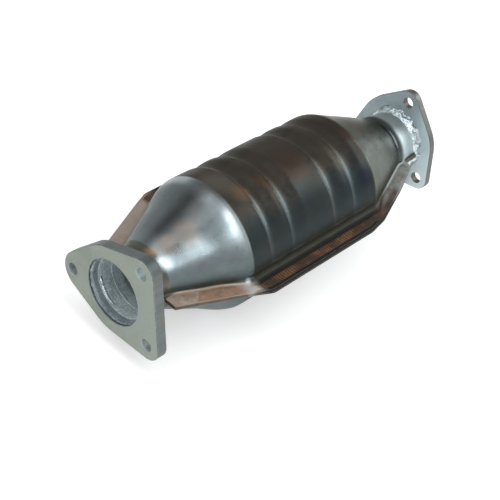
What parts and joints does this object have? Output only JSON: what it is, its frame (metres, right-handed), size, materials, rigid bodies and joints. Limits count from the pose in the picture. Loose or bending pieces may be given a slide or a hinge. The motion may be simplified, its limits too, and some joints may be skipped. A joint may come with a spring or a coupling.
{
  "type": "catalytic converter",
  "caption": "Exhaust catalytic converter with a round beaded body in stamped half shells, seam flanges, tapered cones and a bolt flange at each end.",
  "frame": {"origin": "centre of the inlet bore at the inlet flange's outer face", "axes": "+X along the gas path from inlet to outlet, +Y across the seam flanges, +Z square to the seam plane, away from the lower half shell"},
  "size_m": [0.358, 0.1544, 0.1174],
  "materials": {
    "flange_steel": "dull zinc grey, machined",
    "shell_steel": "bare stamped stainless with heat tint",
    "weld_metal": "bright rippled bead",
    "liner_steel": "dull sheet",
    "brick_ceramic": "coated honeycomb, matte",
    "fibre_mat": "pressed mineral fibre, matte",
    "wire_mesh": "knitted wire"
  },
  "bodies": {
    "root": {"inlet_flange": "flange_steel", "outlet_flange": "flange_steel", "upper_shell": "shell_steel", "lower_shell": "shell_steel", "inlet_weld": "weld_metal", "outlet_weld": "weld_metal", "inlet_root_weld": "weld_metal", "outlet_root_weld": "weld_metal", "seam_weld_left": "weld_metal", "seam_weld_right": "weld_metal", "inlet_neck_bead_left": "weld_metal", "inlet_neck_bead_right": "weld_metal", "outlet_neck_bead_left": "weld_metal", "outlet_neck_bead_right": "weld_metal", "inlet_inner_cone": "liner_steel", "outlet_inner_cone": "liner_steel", "spacer_ring": "liner_steel", "front_brick": "brick_ceramic", "rear_brick": "brick_ceramic", "front_mat": "fibre_mat", "rear_mat": "fibre_mat", "inlet_insulation": "fibre_mat", "outlet_insulation": "fibre_mat", "front_brick_inlet_seal": "wire_mesh", "front_brick_outlet_seal": "wire_mesh", "rear_brick_inlet_seal": "wire_mesh", "rear_brick_outlet_seal": "wire_mesh"}
  },
  "joints": []
}
